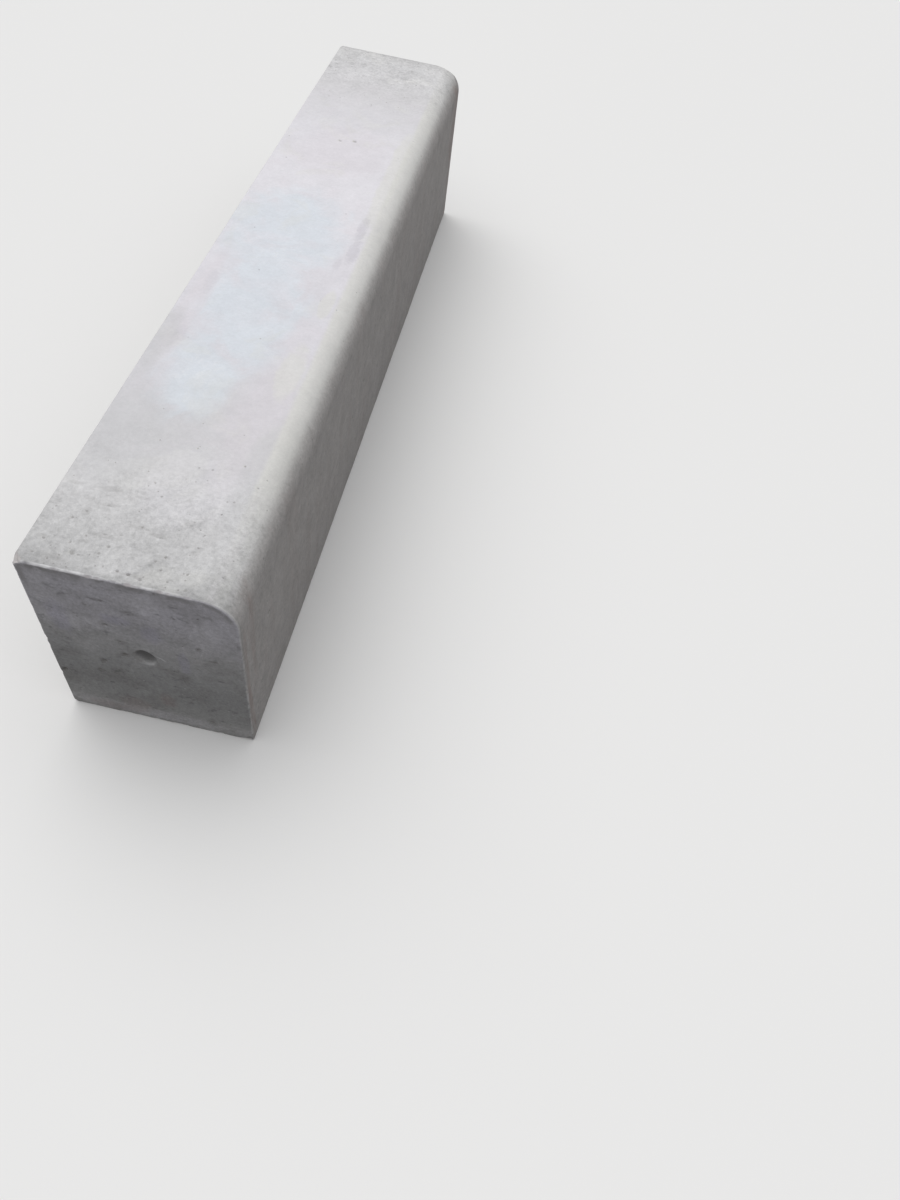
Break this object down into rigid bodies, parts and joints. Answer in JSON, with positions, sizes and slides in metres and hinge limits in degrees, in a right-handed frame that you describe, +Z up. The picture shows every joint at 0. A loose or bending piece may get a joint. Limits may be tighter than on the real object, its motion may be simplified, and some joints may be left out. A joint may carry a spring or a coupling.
{
  "type": "concrete kerb stone",
  "caption": "Straight precast concrete kerb stone of rectangular section with a rounded upper edge along the road side, and a shallow round dimple in the middle of each end.",
  "frame": {"origin": "middle of the bed, the flat underside", "axes": "+Y along the stone, +Z up, +X towards the road, on the side of the rounded upper edge"},
  "size_m": [0.18, 1, 0.22],
  "materials": {
    "concrete": "as-cast plain concrete, matt, smooth on top with fine pits near the ends"
  },
  "bodies": {
    "root": {"kerb_stone": "concrete"}
  },
  "joints": []
}
